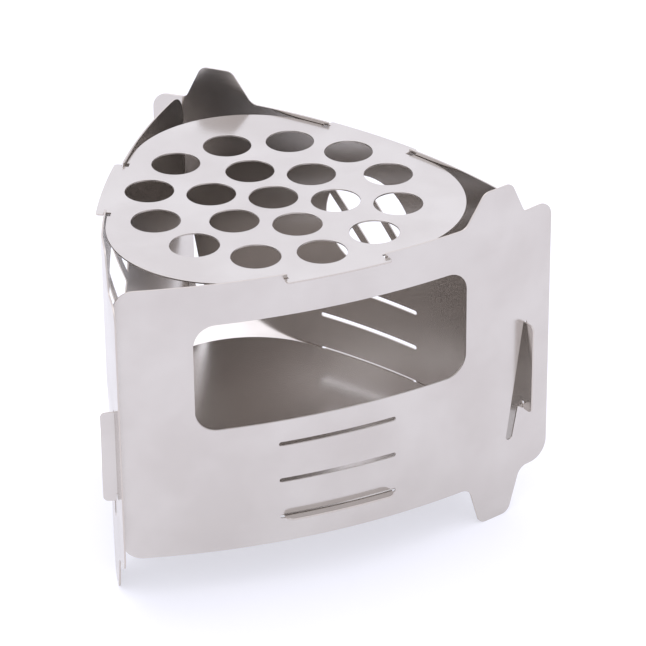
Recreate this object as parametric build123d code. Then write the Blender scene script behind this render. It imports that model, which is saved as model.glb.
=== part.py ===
from build123d import *
import os
from math import asin, cos, sin, sqrt

# Flat-pack spirit stove cut from thin stainless sheet. Three bowed panels hook into each
# other and make a three-sided wind shield, a floor plate sits in their lowest slots and a
# perforated grate rests in their top edges. Millimetres, +Z up, the origin on the stove's
# upright axis at ground level, the front panel facing -Y.
# u is the distance along a panel's sheet from its middle, to the right seen from outside.
# The hook lines are the upright lines where two panels cross.

# Sheet and fits
sheet = 0.5               # thickness of every piece
plate_gap = 0.3           # from a plate's edge to the panel beside it
end_gap = 0.5             # from a panel's left edge to the hook line of its neighbour

# Plan of the shield
hook_radius = 73.0        # axis to each hook line
bow_depth = 10.25         # how far a panel bows out between its hook lines
end_reach = 9.5           # panel past the hook line at its right end

# Panel body, heights from its bottom edge
foot_height = 13.6        # ground to the bottom edge
body_height = 86.7
corner_radius = 6.0
shoulder_drop = 1.2       # right shoulder below the top edge
shoulder_radius = 4.8

# Pot support on the top edge and foot below the bottom edge, set back from the hook line
horn_height = 9.5
horn_top = (-16.3, -6.4)
horn_base = (-23.0, -1.3)
foot_bottom = (-16.6, -5.6)
foot_base = (-20.7, -1.2)
tip_radius = 3.2
root_radius = 3.6
inner_root_radius = 1.8

# Hook at the left end
hook_reach = 4.2          # past the hook line
hook_height = 28.9
hook_low = 19.9           # its lower end above the bottom edge
hook_corner = 1.6
hook_bite = 1.5           # how far it hangs below the step that it grips
hook_lift = 1.0           # play above the step

# Corner slot near the right end, which takes the neighbour's hook
slot_right = 0.6          # right edge past the hook line
slot_throat = 1.4         # width at its top
slot_headroom = 0.4       # above the hook
slot_foot = (-7.1, 11.4)  # lower left corner, from the hook line and the bottom edge
slot_leg = 2.5            # width of the lower leg
slot_leg_radius = 1.1
slot_step = 3.0           # width of the step that the hook grips

# Plate slots across the panel's middle
plate_slot_length = 36.0
plate_slot_width = 1.35
plate_slot_first = 8.45   # lowest slot above the bottom edge
plate_slot_pitch = 12.0
plate_slot_count = 3

# Fuel window in the front panel
window_width = 83.8
window_height = 33.8
window_below_top = 12.8
window_radius = 6.5

# Round vent in the other two panels
vent_diameter = 32.0
vent_below_top = 30.0     # its centre
vent_bar = 2.5
vent_bar_angle = 50.0
vent_bar_count = 2

# Plates
plate_corner_radius = 35.0
grate_tab_width = 31.6    # its head, outside the panel
grate_tab_reach = 2.6     # past the panel's outer face
grate_tab_radius = 1.0
grate_neck_width = 29.0   # in the panel's seat
grate_below_top = 1.2     # grate's upper face below the panels' top edges
grate_notch = 0.9         # relief for the panel's top edge, from the neck to this far past the head
grate_notch_depth = 0.95  # into the grate's edge
head_gap = 0.4            # between the panel's outer face and the tab's head
seat_play = 0.3           # between the neck and its seat, each side
floor_tab_width = 33.4
floor_tab_reach = 2.9
floor_tab_radius = 2.4
floor_play = 0.35         # above the floor plate in its slots

# Perforations of the grate: one hole, a ring of 6 and a ring of 12
hole_diameter = 14.3
hole_rim = 3.0            # metal outside the outer ring
ring_holes = (6, 12)

# Worked out from the values above
half_chord = hook_radius * sqrt(3) / 2
bow_radius = (half_chord ** 2 + bow_depth ** 2) / (2 * bow_depth)
half_angle = asin(half_chord / bow_radius)
hook_line = bow_radius * half_angle
face_distance = hook_radius / 2 + bow_depth
bow_centre = bow_radius - face_distance
body_top = foot_height + body_height
grate_bottom = body_top - grate_below_top - sheet
floor_slot = foot_height + plate_slot_first
floor_bottom = floor_slot + plate_slot_width / 2 - floor_play - sheet
hook_foot = foot_height + hook_low
step_height = hook_foot + hook_bite
plate_edge_radius = bow_radius - sheet / 2 - plate_gap
hole_pitch = (plate_edge_radius - bow_centre - hole_rim - hole_diameter / 2) / len(ring_holes)


def sheet_point(u, offset=0.0):
    """Plan position of a point of the front panel, offset outwards from its middle surface."""
    angle = max(-half_angle, min(half_angle, u / bow_radius))
    straight = u - angle * bow_radius
    radius = bow_radius + offset
    x = radius * sin(angle) + straight * cos(angle)
    y = bow_centre - radius * cos(angle) + straight * sin(angle)
    return x, y


def bowed_sheet(low, high):
    """The panel's sheet before it is cut: an arc between the hook lines, straight beyond."""
    left = -hook_line - hook_reach - sheet
    right = hook_line + end_reach + sheet
    sides = []
    for offset in (sheet / 2, -sheet / 2):
        ends = [sheet_point(u, offset) for u in (left, -hook_line, hook_line, right)]
        arc = ThreePointArc(ends[1], sheet_point(0, offset), ends[2])
        sides.append([Line(ends[0], ends[1]), arc, Line(ends[2], ends[3])])
    caps = [Line(sides[0][i] @ t, sides[1][i] @ t) for i, t in ((0, 0), (2, 1))]
    section = make_face(sides[0] + sides[1] + caps)
    return extrude(Pos(0, 0, low) * section, high - low)


def rounded_outline(corners):
    """Face from corners (x, y, radius), each rounded to its radius."""
    outline = make_face(Polyline([(x, y) for x, y, _ in corners], close=True))
    for x, y, radius in corners:
        if radius:
            corner = outline.vertices().sort_by_distance((x, y, 0))[0]
            outline = fillet(corner, radius)
    return outline


def panel_outline():
    """The panel's developed outline, u across and height up, right seen from outside."""
    left = -hook_line + end_gap
    right = hook_line + end_reach
    shoulder = body_top - shoulder_drop
    notch = step_height + hook_lift
    notch_side = -hook_line - end_gap
    tip = -hook_line - hook_reach
    hook_top = hook_foot + hook_height
    horn = [hook_line + v for v in (*horn_base, *horn_top)]
    foot = [hook_line + v for v in (*foot_base, *foot_bottom)]
    return [
        (left, foot_height, corner_radius),
        (foot[0], foot_height, root_radius),
        (foot[2], 0, tip_radius),
        (foot[3], 0, tip_radius),
        (foot[1], foot_height, root_radius),
        (right, foot_height, corner_radius),
        (right, shoulder, shoulder_radius),
        (horn[1], shoulder, inner_root_radius),
        (horn[3], body_top + horn_height, tip_radius),
        (horn[2], body_top + horn_height, tip_radius),
        (horn[0], body_top, root_radius),
        (left, body_top, corner_radius),
        (left, hook_top, 0),
        (tip, hook_top, hook_corner),
        (tip, hook_foot, hook_corner),
        (notch_side, hook_foot, 0),
        (notch_side, notch, 0),
        (left, notch, 0),
    ]


def upright(face, depth):
    """Turns a face drawn as (x, height) upright and makes a cutter of it across the front panel."""
    return extrude(Plane.XZ * face, depth, both=True).moved(Pos(0, -face_distance, 0))


def panel_blank():
    """Bowed sheet trimmed to its outline."""
    corners = [(sheet_point(u)[0], z, radius) for u, z, radius in panel_outline()]
    trim = upright(rounded_outline(corners), 4 * bow_depth)
    return bowed_sheet(0, body_top + horn_height) & trim


def plate_slots():
    """Cutter for the row of slots that can hold the floor plate."""
    slot = SlotOverall(plate_slot_length, plate_slot_width)
    heights = [floor_slot + i * plate_slot_pitch for i in range(plate_slot_count)]
    return upright(Sketch() + [Pos(0, z) * slot for z in heights], bow_depth)


def corner_slot():
    """Cutter for the slot that takes the neighbour's hook, square to the sheet there."""
    top = hook_foot + hook_height + slot_headroom
    foot_x, foot_z = slot_foot
    foot_z += foot_height
    throat = slot_right - slot_throat
    step_left = slot_right - slot_step
    corners = [
        (foot_x, foot_z, slot_leg_radius),
        (foot_x + slot_leg, foot_z, slot_leg_radius),
        (step_left, step_height, 0),
        (slot_right, step_height, 0),
        (slot_right, top, 0),
        (throat, top, 0),
    ]
    x, y = sheet_point(hook_line)
    frame = Plane(origin=(x, y, 0), x_dir=(cos(half_angle), sin(half_angle), 0),
                  z_dir=(sin(half_angle), -cos(half_angle), 0))
    return extrude(frame * rounded_outline(corners), 3 * sheet, both=True)


def grate_seat():
    """Cutter for the shallow seat in the top edge that a grate tab's neck drops into."""
    width = grate_neck_width + 2 * seat_play
    depth = body_top - grate_bottom
    return upright(Pos(0, body_top) * Rectangle(width, 2 * depth), bow_depth)


def window():
    """Cutter for the fuel window."""
    height = body_top - window_below_top - window_height / 2
    return upright(Pos(0, height) * RectangleRounded(window_width, window_height, window_radius), bow_depth)


def vent():
    """Cutter for the round vent, less its slanting bars."""
    pitch = (vent_diameter + vent_bar) / (vent_bar_count + 1)
    first = -pitch * (vent_bar_count - 1) / 2
    bars = [Pos(0, first + i * pitch) * Rectangle(vent_diameter, vent_bar) for i in range(vent_bar_count)]
    opening = Circle(vent_diameter / 2) - bars
    return upright(Pos(0, body_top - vent_below_top) * Rot(0, 0, vent_bar_angle) * opening, bow_depth)


def panel(opening):
    """One bowed panel with the opening cut in it, in the front panel's place."""
    return panel_blank() - plate_slots() - corner_slot() - grate_seat() - opening


def disc(radius):
    """Disc round the front panel's bow centre."""
    return Pos(0, bow_centre) * Circle(radius)


def plate_outline(tab):
    """Rounded triangle that follows the three panels, with the tab on each side."""
    sides = [Rot(0, 0, turn) * disc(plate_edge_radius) for turn in (0, 120, 240)]
    body = sides[0] & sides[1] & sides[2]
    body = fillet(body.vertices(), plate_corner_radius)
    return body + [Rot(0, 0, turn) * tab for turn in (0, 120, 240)]


def plate_tab(width, reach, radius):
    """Tab that reaches through the front panel, its outer edge following the bow."""
    edge = bow_radius + sheet / 2 + reach
    length = 4 * reach
    strip = Pos(0, bow_centre - edge + length / 2) * Rectangle(width, length)
    tab = strip & disc(edge)
    return fillet(tab.vertices().sort_by(Axis.Y)[:2], radius)


def floor_plate():
    """Plain plate for the burner to stand on, its tabs in the lowest slots."""
    tab = plate_tab(floor_tab_width, floor_tab_reach, floor_tab_radius)
    return extrude(Pos(0, 0, floor_bottom) * plate_outline(tab), sheet)


def grate_notches():
    """Reliefs beside the front tab's neck; the tab's head stays outside them."""
    width = (grate_tab_width - grate_neck_width) / 2 + grate_notch
    middle = (grate_neck_width + width) / 2
    inner, outer = (bow_centre - sqrt(radius ** 2 - middle ** 2) for radius in
                    (plate_edge_radius - grate_notch_depth, bow_radius + sheet / 2 + head_gap))
    notch = Rectangle(width, inner - outer)
    return [Pos(side * middle, (inner + outer) / 2) * notch for side in (-1, 1)]


def grate_holes():
    """Centre hole and the rings of holes around it."""
    holes = [Circle(hole_diameter / 2)]
    for ring, count in enumerate(ring_holes, 1):
        spots = PolarLocations(ring * hole_pitch, count, 90)
        holes += [spot * Circle(hole_diameter / 2) for spot in spots]
    return holes


def grate():
    """Perforated top plate, resting in the panels' top edges."""
    tab = plate_tab(grate_tab_width, grate_tab_reach, grate_tab_radius)
    face = plate_outline(tab) - grate_holes()
    for turn in (0, 120, 240):
        face -= [Rot(0, 0, turn) * notch for notch in grate_notches()]
    return extrude(Pos(0, 0, grate_bottom) * face, sheet)


def build():
    vented = panel(vent())
    return {
        "front_panel": panel(window()),
        "right_panel": vented.rotate(Axis.Z, 120),
        "left_panel": vented.rotate(Axis.Z, 240),
        "floor_plate": floor_plate(),
        "grate": grate(),
    }


os.makedirs("parts", exist_ok=True)
for name, piece in build().items():
    solids = piece.solids()
    print(name, len(solids), "solid", round(piece.volume, 1), "mm3")
    export_step(solids[0] if len(solids) == 1 else Compound(solids), f"parts/{name}.step")
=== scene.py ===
from math import asin, atan2, cos, pi, radians, sin, sqrt, tan

import bmesh
import bpy
from mathutils import Matrix, Vector


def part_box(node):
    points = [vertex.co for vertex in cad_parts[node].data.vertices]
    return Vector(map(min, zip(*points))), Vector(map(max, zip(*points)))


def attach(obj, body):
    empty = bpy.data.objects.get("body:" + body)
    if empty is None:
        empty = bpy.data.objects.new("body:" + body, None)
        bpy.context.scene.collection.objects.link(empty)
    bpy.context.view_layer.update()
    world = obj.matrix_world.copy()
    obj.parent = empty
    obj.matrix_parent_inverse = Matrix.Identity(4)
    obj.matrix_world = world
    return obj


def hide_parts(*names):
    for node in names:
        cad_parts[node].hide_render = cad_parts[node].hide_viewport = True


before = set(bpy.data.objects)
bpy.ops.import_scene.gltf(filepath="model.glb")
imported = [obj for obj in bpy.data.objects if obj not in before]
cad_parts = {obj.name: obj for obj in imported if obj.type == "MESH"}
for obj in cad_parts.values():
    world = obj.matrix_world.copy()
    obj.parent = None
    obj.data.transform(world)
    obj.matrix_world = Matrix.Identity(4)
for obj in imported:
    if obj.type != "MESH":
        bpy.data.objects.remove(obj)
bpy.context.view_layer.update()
mm = 0.001
print("frame loaded:", ", ".join(sorted(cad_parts)))

# Lengths in the dictionaries are millimetres. u runs along a panel's sheet from its middle, to the right
# seen from outside, and heights are above the ground.

# the plan that the panels and both plates follow
shield = {
    "hookRadius": 73.0,      # upright axis to the lines where two panels cross
    "bowDepth": 10.25,       # how far a panel bows out between them
    "sheet": (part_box("grate")[1][2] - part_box("grate")[0][2]) / mm,
    "cutEdge": 0.05,         # burr knocked off every laser-cut edge
    "plateGap": 0.3,
}
halfChord = shield["hookRadius"] * sqrt(3) / 2
bowRadius = (halfChord ** 2 + shield["bowDepth"] ** 2) / (2 * shield["bowDepth"])
halfAngle = asin(halfChord / bowRadius)
hookLine = bowRadius * halfAngle
bowCentre = bowRadius - shield["hookRadius"] / 2 - shield["bowDepth"]
turns = {"front_panel": 0.0, "right_panel": radians(120), "left_panel": radians(240)}


def addNode(tree, kind, inputs=None, **settings):
    # one node with its settings; an input is a value or another node's output
    node = tree.nodes.new(kind)
    for name, value in settings.items():
        setattr(node, name, value)
    for name, value in (inputs or {}).items():
        socket = node.inputs[name]
        if isinstance(value, bpy.types.NodeSocket):
            tree.links.new(value, socket)
        else:
            socket.default_value = value
    return node


def newTree(name, sizes):
    # a Geometry Nodes tree with one named input for each size
    tree = bpy.data.node_groups.new(name, "GeometryNodeTree")
    tree.interface.new_socket("Geometry", in_out="INPUT", socket_type="NodeSocketGeometry")
    for label, kind in sizes.items():
        tree.interface.new_socket(label, in_out="INPUT", socket_type="NodeSocket" + kind)
    tree.interface.new_socket("Geometry", in_out="OUTPUT", socket_type="NodeSocketGeometry")
    return tree, tree.nodes.new("NodeGroupInput").outputs, tree.nodes.new("NodeGroupOutput").inputs


def applyModifiers(piece):
    # the modified shape as a plain mesh, and the modifiers gone
    bpy.context.view_layer.update()
    depsgraph = bpy.context.evaluated_depsgraph_get()
    mesh = bpy.data.meshes.new_from_object(piece.evaluated_get(depsgraph))
    mesh.name = piece.name
    piece.modifiers.clear()
    piece.data = mesh


def runTree(piece, tree, values):
    modifier = piece.modifiers.new(tree.name, "NODES")
    modifier.node_group = tree
    for item in tree.interface.items_tree:
        if item.in_out == "INPUT" and item.name in values:
            modifier[item.identifier] = values[item.name]
    applyModifiers(piece)


def newPiece(name, points, edges, faces=()):
    mesh = bpy.data.meshes.new(name)
    mesh.from_pydata(points, edges, faces)
    piece = bpy.data.objects.new(name, mesh)
    bpy.context.collection.objects.link(piece)
    return piece


def arc(centre, radius, start, end, step=radians(7.5)):
    count = max(2, round(abs(end - start) / step))
    angles = [start + (end - start) * i / count for i in range(count + 1)]
    return [(centre[0] + radius * cos(a), centre[1] + radius * sin(a)) for a in angles]


def rounded(corners):
    # closed loop through corners (x, y, radius), each corner an arc of its radius
    loop = []
    for i, (x, y, radius) in enumerate(corners):
        here = Vector((x, y))
        before = (Vector(corners[i - 1][:2]) - here).normalized()
        after = (Vector(corners[(i + 1) % len(corners)][:2]) - here).normalized()
        if not radius:
            loop.append((x, y))
            continue
        half = before.angle(after) / 2
        centre = here + (before + after).normalized() * (radius / sin(half))
        first = here + before * (radius / tan(half)) - centre
        last = here + after * (radius / tan(half)) - centre
        start = atan2(first.y, first.x)
        swing = (atan2(last.y, last.x) - start + pi) % (2 * pi) - pi
        loop += arc(centre, radius, start, start + swing)
    return loop


def loopsPiece(name, loops):
    # flat outline and cut-outs as wire loops, in metres
    points, edges = [], []
    for loop in loops:
        first = len(points)
        points += [(x * mm, y * mm, 0) for x, y in loop]
        edges += [(first + i, first + (i + 1) % len(loop)) for i in range(len(loop))]
    return newPiece(name, points, edges)


def linear(hexColour):
    parts = [int(hexColour[i:i + 2], 16) / 255 for i in (1, 3, 5)]
    return [p / 12.92 if p <= 0.04045 else ((p + 0.055) / 1.055) ** 2.4 for p in parts] + [1]


steelLook = {
    "colour": "#CFCAC5",
    "colourWorn": "#C7C1BC",
    "roughness": (0.16, 0.23),
    "anisotropy": 0.65,      # blurs reflections across the grain, hardly along it
    "grainWidth": 0.25,      # real rolling grain is finer still
    "grainLength": 18.0,
    "grainHeight": 0.0009,
    "waveLength": 38.0,      # the slight unevenness of thin sheet
    "waveHeight": 0.035,
    "cloudSize": 26.0,       # patches of slightly different polish
}


def rolledSteel(name, look, upright):
    # Stainless sheet with a cold-rolled finish: a bright mirror, a little blurred along a fine straight grain
    material = bpy.data.materials.new(name)
    material.use_nodes = True
    tree = material.node_tree
    shader = tree.nodes["Principled BSDF"]
    place = addNode(tree, "ShaderNodeTexCoord").outputs["Object"]
    fine, long = 1 / (look["grainWidth"] * mm), 1 / (look["grainLength"] * mm)
    stretch = [long, long, fine] if upright else [long, fine, fine]
    along = addNode(tree, "ShaderNodeMapping", {"Vector": place, "Scale": stretch}).outputs["Vector"]
    grain = addNode(tree, "ShaderNodeTexNoise", {"Vector": along, "Scale": 1.0, "Detail": 3.0})
    cloud = addNode(tree, "ShaderNodeTexNoise", {"Vector": place, "Scale": 1 / (look["cloudSize"] * mm),
                                                 "Detail": 4.0, "Roughness": 0.55})
    mixed = addNode(tree, "ShaderNodeMath", {0: grain.outputs["Fac"], 1: cloud.outputs["Fac"]},
                    operation="ADD")
    low, high = look["roughness"]
    rough = addNode(tree, "ShaderNodeMapRange", {"Value": mixed.outputs[0], "From Min": 0.6, "From Max": 1.4,
                                                 "To Min": low, "To Max": high})
    tone = addNode(tree, "ShaderNodeMapRange", {"Value": cloud.outputs["Fac"], "From Min": 0.35,
                                                "From Max": 0.65})
    colour = addNode(tree, "ShaderNodeMix", {"Factor": tone.outputs["Result"]}, data_type="RGBA")
    colour.inputs["A"].default_value = linear(look["colour"])
    colour.inputs["B"].default_value = linear(look["colourWorn"])
    wave = addNode(tree, "ShaderNodeTexNoise", {"Vector": place, "Scale": 1 / (look["waveLength"] * mm),
                                                "Detail": 0.0})
    buckle = addNode(tree, "ShaderNodeBump", {"Height": wave.outputs["Fac"], "Strength": 1.0,
                                              "Distance": look["waveHeight"] * mm})
    scratch = addNode(tree, "ShaderNodeBump", {"Height": grain.outputs["Fac"], "Strength": 1.0,
                                               "Distance": look["grainHeight"] * mm,
                                               "Normal": buckle.outputs["Normal"]})
    grainWay = addNode(tree, "ShaderNodeCombineXYZ", {"X": 1.0})
    if upright:
        facing = addNode(tree, "ShaderNodeNewGeometry").outputs["Normal"]
        grainWay = addNode(tree, "ShaderNodeVectorMath", {0: (0.0, 0.0, 1.0), 1: facing},
                           operation="CROSS_PRODUCT")
    shader.inputs["Metallic"].default_value = 1.0
    shader.inputs["Anisotropic"].default_value = look["anisotropy"]
    tree.links.new(grainWay.outputs["Vector"], shader.inputs["Tangent"])
    tree.links.new(colour.outputs["Result"], shader.inputs["Base Color"])
    tree.links.new(rough.outputs["Result"], shader.inputs["Roughness"])
    tree.links.new(scratch.outputs["Normal"], shader.inputs["Normal"])
    return material


edgeLook = {"colour": "#C9C1BA", "roughness": 0.42, "striation": 0.18, "striationHeight": 0.02}


def laserCutEdge(name, look):
    # The cut edge of the same sheet: duller and a shade warmer, with fine marks across its thickness
    material = bpy.data.materials.new(name)
    material.use_nodes = True
    tree = material.node_tree
    shader = tree.nodes["Principled BSDF"]
    place = addNode(tree, "ShaderNodeTexCoord").outputs["Object"]
    marks = addNode(tree, "ShaderNodeTexNoise", {"Vector": place, "Scale": 1 / (look["striation"] * mm)})
    bump = addNode(tree, "ShaderNodeBump", {"Height": marks.outputs["Fac"], "Strength": 0.4,
                                            "Distance": look["striationHeight"] * mm})
    shader.inputs["Metallic"].default_value = 1.0
    shader.inputs["Base Color"].default_value = linear(look["colour"])
    shader.inputs["Roughness"].default_value = look["roughness"]
    tree.links.new(bump.outputs["Normal"], shader.inputs["Normal"])
    return material


panelSteel = rolledSteel("rolledStainlessPanel", steelLook, True)
plateSteel = rolledSteel("rolledStainlessPlate", steelLook, False)
cutEdge = laserCutEdge("laserCutStainlessEdge", edgeLook)
print("materials made")


def thicken(tree, sizes, flat):
    # fills the loops, gives the sheet its thickness and its materials, then lifts it into place
    filled = addNode(tree, "GeometryNodeFillCurve", {"Curve": flat}, mode="NGONS").outputs["Mesh"]
    upper = addNode(tree, "GeometryNodeExtrudeMesh", {"Mesh": filled, "Offset Scale": sizes["Thickness"],
                                                      "Individual": False}, mode="FACES")
    lower = addNode(tree, "GeometryNodeFlipFaces", {"Mesh": filled}).outputs["Mesh"]
    both = addNode(tree, "GeometryNodeJoinGeometry")
    tree.links.new(upper.outputs["Mesh"], both.inputs["Geometry"])
    tree.links.new(lower, both.inputs["Geometry"])
    closed = addNode(tree, "GeometryNodeMergeByDistance", {"Geometry": both.outputs["Geometry"],
                                                           "Distance": 0.002 * mm}).outputs["Geometry"]
    offset = addNode(tree, "ShaderNodeCombineXYZ", {"Z": sizes["Height"]}).outputs["Vector"]
    placed = addNode(tree, "GeometryNodeTransform", {"Geometry": closed, "Translation": offset})
    real = addNode(tree, "GeometryNodeRealizeInstances", {"Geometry": placed.outputs["Geometry"]})
    faces = addNode(tree, "GeometryNodeSetMaterial", {"Geometry": real.outputs["Geometry"],
                                                      "Material": sizes["Sheet Material"]})
    edges = addNode(tree, "GeometryNodeSetMaterial", {"Geometry": faces.outputs["Geometry"],
                                                      "Selection": upper.outputs["Side"],
                                                      "Material": sizes["Edge Material"]})
    return edges.outputs["Geometry"]


sheetSizes = {"Thickness": "Float", "Height": "Float",
              "Sheet Material": "Material", "Edge Material": "Material"}


def slotRowTree():
    # a panel's outline with a row of round-ended plate slots, one above the other
    tree, sizes, result = newTree("plateSlotRow", {"Slot Length": "Float", "Slot Width": "Float",
                                                   "Slot Pitch": "Float", "Lowest Slot": "Float",
                                                   "Slot Count": "Int", **sheetSizes})
    outline = addNode(tree, "GeometryNodeMeshToCurve", {"Mesh": sizes["Geometry"]}).outputs["Curve"]
    blank = addNode(tree, "GeometryNodeCurvePrimitiveQuadrilateral", {"Width": sizes["Slot Length"],
                                                                      "Height": sizes["Slot Width"]})
    endRadius = addNode(tree, "ShaderNodeMath", {0: sizes["Slot Width"], 1: 0.49}, operation="MULTIPLY")
    slot = addNode(tree, "GeometryNodeFilletCurve", {"Curve": blank.outputs["Curve"], "Count": 6,
                                                     "Radius": endRadius.outputs[0]}, mode="POLY")
    start = addNode(tree, "ShaderNodeCombineXYZ", {"Y": sizes["Lowest Slot"]}).outputs["Vector"]
    step = addNode(tree, "ShaderNodeCombineXYZ", {"Y": sizes["Slot Pitch"]}).outputs["Vector"]
    spots = addNode(tree, "GeometryNodeMeshLine", {"Count": sizes["Slot Count"], "Start Location": start,
                                                   "Offset": step}).outputs["Mesh"]
    row = addNode(tree, "GeometryNodeInstanceOnPoints", {"Points": spots, "Instance": slot.outputs["Curve"]})
    cuts = addNode(tree, "GeometryNodeRealizeInstances", {"Geometry": row.outputs["Instances"]})
    flat = addNode(tree, "GeometryNodeJoinGeometry")
    tree.links.new(outline, flat.inputs["Geometry"])
    tree.links.new(cuts.outputs["Geometry"], flat.inputs["Geometry"])
    tree.links.new(thicken(tree, sizes, flat.outputs["Geometry"]), result["Geometry"])
    return tree


def ringHolesTree():
    # a plate's outline with a centre hole and two rings of holes
    tree, sizes, result = newTree("ringPerforation", {"Hole Radius": "Float", "Ring Pitch": "Float",
                                                      "Inner Ring": "Int", "Outer Ring": "Int",
                                                      "Ring Turn": "Float", **sheetSizes})
    flat = addNode(tree, "GeometryNodeJoinGeometry")
    outline = addNode(tree, "GeometryNodeMeshToCurve", {"Mesh": sizes["Geometry"]}).outputs["Curve"]
    tree.links.new(outline, flat.inputs["Geometry"])
    hole = addNode(tree, "GeometryNodeCurvePrimitiveCircle", {"Resolution": 56,
                                                              "Radius": sizes["Hole Radius"]})
    tree.links.new(hole.outputs["Curve"], flat.inputs["Geometry"])
    turn = addNode(tree, "ShaderNodeCombineXYZ", {"Z": sizes["Ring Turn"]}).outputs["Vector"]
    for ring, count in ((1, sizes["Inner Ring"]), (2, sizes["Outer Ring"])):
        radius = addNode(tree, "ShaderNodeMath", {0: sizes["Ring Pitch"], 1: ring}, operation="MULTIPLY")
        circle = addNode(tree, "GeometryNodeMeshCircle", {"Vertices": count, "Radius": radius.outputs[0]})
        spots = addNode(tree, "GeometryNodeTransform", {"Geometry": circle.outputs["Mesh"],
                                                        "Rotation": turn})
        holes = addNode(tree, "GeometryNodeInstanceOnPoints", {"Points": spots.outputs["Geometry"],
                                                               "Instance": hole.outputs["Curve"]})
        cuts = addNode(tree, "GeometryNodeRealizeInstances", {"Geometry": holes.outputs["Instances"]})
        tree.links.new(cuts.outputs["Geometry"], flat.inputs["Geometry"])
    tree.links.new(thicken(tree, sizes, flat.outputs["Geometry"]), result["Geometry"])
    return tree


def plainPlateTree():
    tree, sizes, result = newTree("plainPlate", sheetSizes)
    outline = addNode(tree, "GeometryNodeMeshToCurve", {"Mesh": sizes["Geometry"]}).outputs["Curve"]
    tree.links.new(thicken(tree, sizes, outline), result["Geometry"])
    return tree


def bowTree():
    # bends a flat sheet, drawn as (u, height, outwards), to the shield's bow and turns it to its side
    tree, sizes, result = newTree("bowedSheet", {"Bow Radius": "Float", "Half Angle": "Float",
                                                 "Bow Centre": "Float", "Turn": "Float",
                                                 "Sheet Material": "Material"})

    def calc(operation, first, second=0.0):
        return addNode(tree, "ShaderNodeMath", {0: first, 1: second}, operation=operation).outputs[0]

    place = addNode(tree, "GeometryNodeInputPosition").outputs["Position"]
    flat = addNode(tree, "ShaderNodeSeparateXYZ", {"Vector": place}).outputs
    wanted = calc("DIVIDE", flat["X"], sizes["Bow Radius"])
    lowest = calc("MULTIPLY", sizes["Half Angle"], -1.0)
    angle = addNode(tree, "ShaderNodeClamp", {"Value": wanted, "Min": lowest,
                                              "Max": sizes["Half Angle"]}).outputs["Result"]
    straight = calc("SUBTRACT", flat["X"], calc("MULTIPLY", angle, sizes["Bow Radius"]))
    radius = calc("ADD", sizes["Bow Radius"], flat["Z"])
    sine, cosine = calc("SINE", angle), calc("COSINE", angle)
    x = calc("ADD", calc("MULTIPLY", radius, sine), calc("MULTIPLY", straight, cosine))
    back = calc("SUBTRACT", sizes["Bow Centre"], calc("MULTIPLY", radius, cosine))
    y = calc("ADD", back, calc("MULTIPLY", straight, sine))
    bent = addNode(tree, "ShaderNodeCombineXYZ", {"X": x, "Y": y, "Z": flat["Y"]}).outputs["Vector"]
    turned = addNode(tree, "ShaderNodeVectorRotate", {"Vector": bent, "Angle": sizes["Turn"]},
                     rotation_type="Z_AXIS").outputs["Vector"]
    moved = addNode(tree, "GeometryNodeSetPosition", {"Geometry": sizes["Geometry"], "Position": turned})
    real = addNode(tree, "GeometryNodeRealizeInstances", {"Geometry": moved.outputs["Geometry"]})
    faces = addNode(tree, "GeometryNodeMaterialSelection", {"Material": sizes["Sheet Material"]})
    done = addNode(tree, "GeometryNodeSetMaterial", {"Geometry": real.outputs["Geometry"],
                                                     "Selection": faces.outputs["Selection"],
                                                     "Material": sizes["Sheet Material"]})
    tree.links.new(done.outputs["Geometry"], result["Geometry"])
    return tree


def breakEdges(piece):
    # the small flat left on a laser-cut edge when its burr is taken off
    bevel = piece.modifiers.new("brokenEdge", "BEVEL")
    bevel.width = shield["cutEdge"] * mm
    bevel.segments = 1
    bevel.limit_method = "ANGLE"
    bevel.angle_limit = radians(60)
    bevel.use_clamp_overlap = False
    applyModifiers(piece)


def shade(mesh):
    mesh.shade_smooth()
    mesh.set_sharp_from_angle(angle=radians(28))


panelSizes = {
    "footHeight": 13.6, "bodyHeight": 86.7, "cornerRadius": 6.0,
    "endGap": 0.5, "endReach": 9.5, "shoulderDrop": 1.2, "shoulderRadius": 4.8,
    "hornHeight": 9.5, "hornTop": (-16.3, -6.4), "hornBase": (-23.0, -1.3),
    "footTip": (-16.6, -5.6), "footBase": (-20.7, -1.2),
    "tipRadius": 3.2, "rootRadius": 3.6, "innerRootRadius": 1.8,
    "hookReach": 4.2, "hookHeight": 28.9, "hookLow": 19.9, "hookBite": 1.5, "hookLift": 1.0,
    "hookCorner": 1.6, "hookRoot": 0.3, "hookNotch": 0.35, "hookNotchTip": 0.2,
    "slotRight": 0.6, "slotThroat": 1.4, "slotHeadroom": 0.4, "slotFoot": (-7.1, 11.4),
    "slotLeg": 2.5, "slotLegRadius": 1.1, "slotStep": 3.0, "slotStepRadius": 0.3, "slotTopRadius": 0.4,
    "seatWidth": 29.6, "seatEdge": 0.3, "seatCorner": 0.25,
    "plateSlotLength": 36.0, "plateSlotWidth": 1.35, "plateSlotFirst": 8.45, "plateSlotPitch": 12.0,
    "plateSlots": 3,
    "windowWidth": 83.8, "windowHeight": 33.8, "windowBelowTop": 12.8, "windowRadius": 6.5,
    "ventDiameter": 32.0, "ventBelowTop": 30.0, "ventBar": 2.5, "ventBarAngle": 50.0, "ventBars": 2,
    "strip": 2.0,            # between the lines that let the flat sheet bend smoothly
}


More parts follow.
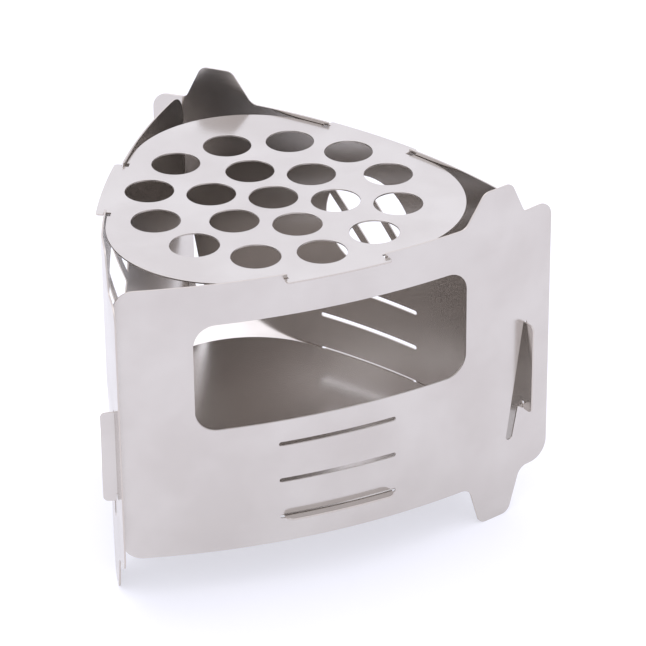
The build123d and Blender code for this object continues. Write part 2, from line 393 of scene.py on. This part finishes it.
def panelOutline(p):
    left, right = -hookLine + p["endGap"], hookLine + p["endReach"]
    low, top = p["footHeight"], p["footHeight"] + p["bodyHeight"]
    shoulder, hornTop = top - p["shoulderDrop"], top + p["hornHeight"]
    hookFoot = low + p["hookLow"]
    hookTop = hookFoot + p["hookHeight"]
    notch = hookFoot + p["hookBite"] + p["hookLift"]
    notchSide, tip = -hookLine - p["endGap"], -hookLine - p["hookReach"]
    hornBase, hornTip = [[hookLine + v for v in p[key]] for key in ("hornBase", "hornTop")]
    footBase, footTip = [[hookLine + v for v in p[key]] for key in ("footBase", "footTip")]
    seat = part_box("grate")[0][2] / mm
    half = p["seatWidth"] / 2
    return rounded([
        (left, low, p["cornerRadius"]),
        (footBase[0], low, p["rootRadius"]), (footTip[0], 0, p["tipRadius"]),
        (footTip[1], 0, p["tipRadius"]), (footBase[1], low, p["rootRadius"]),
        (right, low, p["cornerRadius"]), (right, shoulder, p["shoulderRadius"]),
        (hornBase[1], shoulder, p["innerRootRadius"]), (hornTip[1], hornTop, p["tipRadius"]),
        (hornTip[0], hornTop, p["tipRadius"]), (hornBase[0], top, p["rootRadius"]),
        (half, top, p["seatEdge"]), (half, seat, p["seatCorner"]),
        (-half, seat, p["seatCorner"]), (-half, top, p["seatEdge"]),
        (left, top, p["cornerRadius"]), (left, hookTop, p["hookRoot"]),
        (tip, hookTop, p["hookCorner"]), (tip, hookFoot, p["hookCorner"]),
        (notchSide, hookFoot, p["hookNotchTip"]), (notchSide, notch, p["hookNotch"]),
        (left, notch, p["hookNotch"]),
    ])


def cornerSlot(p):
    low = p["footHeight"]
    top = low + p["hookLow"] + p["hookHeight"] + p["slotHeadroom"]
    step = low + p["hookLow"] + p["hookBite"]
    right = hookLine + p["slotRight"]
    foot, footHeight = hookLine + p["slotFoot"][0], low + p["slotFoot"][1]
    return rounded([
        (foot, footHeight, p["slotLegRadius"]), (foot + p["slotLeg"], footHeight, p["slotLegRadius"]),
        (right - p["slotStep"], step, p["slotStepRadius"]), (right, step, p["slotStepRadius"]),
        (right, top, p["slotTopRadius"]), (right - p["slotThroat"], top, p["slotTopRadius"]),
    ])


def windowLoop(p):
    top = p["footHeight"] + p["bodyHeight"] - p["windowBelowTop"]
    low, half, r = top - p["windowHeight"], p["windowWidth"] / 2, p["windowRadius"]
    return [rounded([(-half, low, r), (half, low, r), (half, top, r), (-half, top, r)])]


def ventLoops(p):
    # a round vent, cut into strips by slanting bars
    radius, bar = p["ventDiameter"] / 2, p["ventBar"]
    pitch = (2 * radius + bar) / (p["ventBars"] + 1)
    height = p["footHeight"] + p["bodyHeight"] - p["ventBelowTop"]
    slant = Matrix.Rotation(radians(p["ventBarAngle"]), 2)
    loops = []
    for i in range(p["ventBars"] + 1):
        low = -radius + i * pitch
        high = min(low + pitch - bar, radius)
        lowAngle, highAngle = asin(max(-1, low / radius)), asin(min(1, high / radius))
        strip = arc((0, 0), radius, lowAngle, highAngle)
        strip += arc((0, 0), radius, pi - highAngle, pi - lowAngle)
        strip = [Vector(q) for q in strip]
        # the bottom and top strips come to a point, where their two arcs end on the same spot
        strip = [q for j, q in enumerate(strip) if (q - strip[j - 1]).length > 0.01]
        loops.append([((slant @ q).x, (slant @ q).y + height) for q in strip])
    return loops


def cutStrips(mesh, spacing):
    # cross lines close enough together that the bent sheet is smooth
    work = bmesh.new()
    work.from_mesh(mesh)
    count = int(hookLine / spacing)
    for i in range(-count, count + 1):
        everything = work.verts[:] + work.edges[:] + work.faces[:]
        bmesh.ops.bisect_plane(work, geom=everything, dist=1e-7, plane_co=(i * spacing * mm, 0, 0),
                               plane_no=(1, 0, 0))
    work.to_mesh(mesh)
    work.free()


def makePanel(name, node, cutOuts, p):
    piece = loopsPiece(name, [panelOutline(p), cornerSlot(p)] + cutOuts)
    runTree(piece, slotRow, {
        "Slot Length": p["plateSlotLength"] * mm, "Slot Width": p["plateSlotWidth"] * mm,
        "Slot Pitch": p["plateSlotPitch"] * mm, "Slot Count": p["plateSlots"],
        "Lowest Slot": (p["footHeight"] + p["plateSlotFirst"]) * mm,
        "Thickness": shield["sheet"] * mm, "Height": -shield["sheet"] / 2 * mm,
        "Sheet Material": panelSteel, "Edge Material": cutEdge})
    breakEdges(piece)
    cutStrips(piece.data, p["strip"])
    runTree(piece, bow, {"Bow Radius": bowRadius * mm, "Half Angle": halfAngle,
                         "Bow Centre": bowCentre * mm, "Turn": turns[node],
                         "Sheet Material": panelSteel})
    shade(piece.data)
    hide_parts(node)
    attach(piece, "shield")
    print(name, len(piece.data.polygons), "faces")


slotRow, bow = slotRowTree(), bowTree()
makePanel("windowPanel", "front_panel", windowLoop(panelSizes), panelSizes)
makePanel("ventPanelRight", "right_panel", ventLoops(panelSizes), panelSizes)
makePanel("ventPanelLeft", "left_panel", ventLoops(panelSizes), panelSizes)


plateSizes = {
    "cornerRadius": 35.0,
    "grateTab": {"width": 31.6, "reach": 2.6, "corner": 1.0, "neck": 29.0, "notch": 0.9,
                 "notchDepth": 0.95, "headGap": 0.4},
    "floorTab": {"width": 33.4, "reach": 2.9, "corner": 2.4},
    "holeDiameter": 14.3, "holeRim": 3.0, "innerRing": 6, "outerRing": 12,
}


plateRadius = bowRadius - shield["sheet"] / 2 - shield["plateGap"]      # the plates' bowed sides
outerFace = bowRadius + shield["sheet"] / 2                             # the panels' outside


def onArc(radius, x):
    # the point of the front side's arc at x
    return x, bowCentre - sqrt(radius ** 2 - x ** 2)


def plateSide(p, tab):
    # the front third of a plate's outline, left to right, with its right-hand corner
    inset = plateRadius - p["cornerRadius"]
    reach = (sqrt(4 * inset ** 2 - 3 * bowCentre ** 2) - bowCentre) / 2
    corner = (reach * cos(radians(30)), -reach * sin(radians(30)))
    swing = atan2(corner[0], bowCentre - corner[1])
    start = tab[0][0]
    tabAngle = asin(-start / plateRadius)
    first = arc((0, bowCentre), plateRadius, -pi / 2 - swing, -pi / 2 - tabAngle, radians(1.2))
    second = arc((0, bowCentre), plateRadius, -pi / 2 + tabAngle, -pi / 2 + swing, radians(1.2))
    turn = arc(corner, p["cornerRadius"], -pi / 2 + swing, pi / 6 - swing, radians(4))
    return first[:-1] + tab + second[1:-1] + turn[:-1]


def outerTab(t):
    # a tab's rounded end, which follows the bow
    half, r, outer = t["width"] / 2, t["corner"], outerFace + t["reach"]
    across = asin((half - r) / (outer - r))
    centre = ((outer - r) * sin(across), bowCentre - (outer - r) * cos(across))
    middle = arc((0, bowCentre), outer, -pi / 2 - across, -pi / 2 + across, radians(1.2))
    right = arc(centre, r, -pi / 2 + across, 0, radians(12))
    return [(-x, y) for x, y in reversed(right[1:])] + middle + right[1:]


def grateTab(t):
    # its neck lies in the panel's seat, its wider head outside the panel
    neck, head = t["neck"] / 2, t["width"] / 2
    middle = (neck + head + t["notch"]) / 2
    deep = onArc(plateRadius - t["notchDepth"], middle)[1]
    under = onArc(outerFace + t["headGap"], middle)[1]
    left = [onArc(plateRadius, -head - t["notch"]), (-head - t["notch"], deep), (-neck, deep),
            (-neck, under), (-head, under)]
    return left + outerTab(t) + [(-x, y) for x, y in reversed(left)]


def floorTab(t):
    root = onArc(plateRadius, -t["width"] / 2)
    return [root] + outerTab(t) + [(-root[0], root[1])]


def plateOutline(p, tab):
    third = plateSide(p, tab)
    loop = []
    for i in range(3):
        turn = Matrix.Rotation(radians(120 * i), 2)
        loop += [tuple(turn @ Vector(q)) for q in third]
    return loop


def makePlate(name, node, body, outline, tree, values):
    piece = loopsPiece(name, [outline])
    runTree(piece, tree, {"Thickness": shield["sheet"] * mm, "Height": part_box(node)[0][2],
                          "Sheet Material": plateSteel, "Edge Material": cutEdge, **values})
    breakEdges(piece)
    shade(piece.data)
    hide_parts(node)
    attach(piece, body)
    print(name, len(piece.data.polygons), "faces")


def ringPitch(p):
    edge = plateRadius - bowCentre
    return (edge - p["holeRim"] - p["holeDiameter"] / 2) / 2


grateOutline = plateOutline(plateSizes, grateTab(plateSizes["grateTab"]))
makePlate("perforatedGrate", "grate", "grate", grateOutline, ringHolesTree(), {
    "Hole Radius": plateSizes["holeDiameter"] / 2 * mm, "Ring Pitch": ringPitch(plateSizes) * mm,
    "Inner Ring": plateSizes["innerRing"], "Outer Ring": plateSizes["outerRing"], "Ring Turn": pi / 2})
floorOutline = plateOutline(plateSizes, floorTab(plateSizes["floorTab"]))
makePlate("burnerFloor", "floor_plate", "shield", floorOutline, plainPlateTree(), {})


# lengths in metres from here on
studio = {
    "floorColour": "#B8B7BB", "floorRoughness": 0.9, "floorSize": 6.0,
    "glowColour": "#F6F7FF", "tableGlow": 0.54,
    # a painted pool of light: extra glow in the table under the back of the stove, which the panels mirror
    "paintedPoolGlow": 1.5, "paintedPoolPlace": (-0.026, 0.055, 0.0), "paintedPoolReach": (0.01, 0.032),
    "skyColour": "#F4F5FF", "sky": (1.15, 1.35),     # at the camera's side and at the back
    "skyTurn": (-0.7, 0.3),                          # y of the direction at each of them
}


def makeFloor(s):
    # a shooting table lit from below, so there is hardly any shadow, with a painted pool of light glowing in
    # the table under the back of the stove
    half = s["floorSize"] / 2
    corners = [(-half, -half, 0), (half, -half, 0), (half, half, 0), (-half, half, 0)]
    floor = newPiece("shootingTable", corners, [], [(0, 1, 2, 3)])
    material = bpy.data.materials.new("litTable")
    material.use_nodes = True
    tree = material.node_tree
    shader = tree.nodes["Principled BSDF"]
    place = addNode(tree, "ShaderNodeTexCoord").outputs["Object"]
    away = addNode(tree, "ShaderNodeVectorMath", {0: place, 1: s["paintedPoolPlace"]}, operation="DISTANCE")
    # the table glows much brighter in a painted pool of light round one spot, fading to its even glow
    glow = addNode(tree, "ShaderNodeMapRange", {"Value": away.outputs["Value"], "From Min": s["paintedPoolReach"][0],
                                                "From Max": s["paintedPoolReach"][1], "To Min": s["paintedPoolGlow"],
                                                "To Max": s["tableGlow"]}, interpolation_type="SMOOTHSTEP")
    shader.inputs["Base Color"].default_value = linear(s["floorColour"])
    shader.inputs["Roughness"].default_value = s["floorRoughness"]
    shader.inputs["Emission Color"].default_value = linear(s["glowColour"])
    tree.links.new(glow.outputs["Result"], shader.inputs["Emission Strength"])
    floor.data.materials.append(material)


def makeSky(s):
    # soft light all round, a little brighter behind the stove
    world = bpy.data.worlds.new("softSky")
    world.use_nodes = True
    tree = world.node_tree
    direction = addNode(tree, "ShaderNodeTexCoord").outputs["Generated"]
    ray = addNode(tree, "ShaderNodeSeparateXYZ", {"Vector": direction})
    level = addNode(tree, "ShaderNodeMapRange", {"Value": ray.outputs["Y"], "From Min": s["skyTurn"][0],
                                                 "From Max": s["skyTurn"][1], "To Min": s["sky"][0],
                                                 "To Max": s["sky"][1]})
    tree.nodes["Background"].inputs["Color"].default_value = linear(s["skyColour"])
    tree.links.new(level.outputs["Result"], tree.nodes["Background"].inputs["Strength"])
    bpy.context.scene.world = world


overhead = {"place": (-0.3, 0.2, 1.5), "target": (0, 0, 0.05), "size": (1.6, 1.6), "power": 6}


def softBox(name, s):
    light = bpy.data.lights.new(name, "AREA")
    light.shape = "RECTANGLE"
    light.size, light.size_y = s["size"]
    light.energy = s["power"]
    lamp = bpy.data.objects.new(name, light)
    lamp.location = s["place"]
    lamp.rotation_euler = (Vector(s["target"]) - Vector(s["place"])).to_track_quat("-Z", "Y").to_euler()
    bpy.context.collection.objects.link(lamp)


view = {"target": (0.01322, -0.00439, 0.05685), "azimuth": -22.65, "elevation": 29.40,
        "distance": 1.0558, "roll": -0.57, "lens": 200.8, "sensor": 36, "clipEnd": 50}


def makeCamera(c):
    camera = bpy.data.cameras.new("productCamera")
    camera.lens = c["lens"]
    camera.sensor_width = c["sensor"]
    camera.clip_end = c["clipEnd"]
    lookout = bpy.data.objects.new("productCamera", camera)
    a, e = radians(c["azimuth"]), radians(c["elevation"])
    away = Vector((sin(a) * cos(e), -cos(a) * cos(e), sin(e)))
    target = Vector(c["target"])
    level = (-away).to_track_quat("-Z", "Y")
    lookout.matrix_world = (Matrix.Translation(target + away * c["distance"]) @ level.to_matrix().to_4x4()
                            @ Matrix.Rotation(radians(c["roll"]), 4, "Z"))
    bpy.context.collection.objects.link(lookout)
    bpy.context.scene.camera = lookout


makeFloor(studio)
makeSky(studio)
softBox("overheadBox", overhead)
makeCamera(view)
bpy.context.scene.view_settings.view_transform = "Standard"
print("studio set")
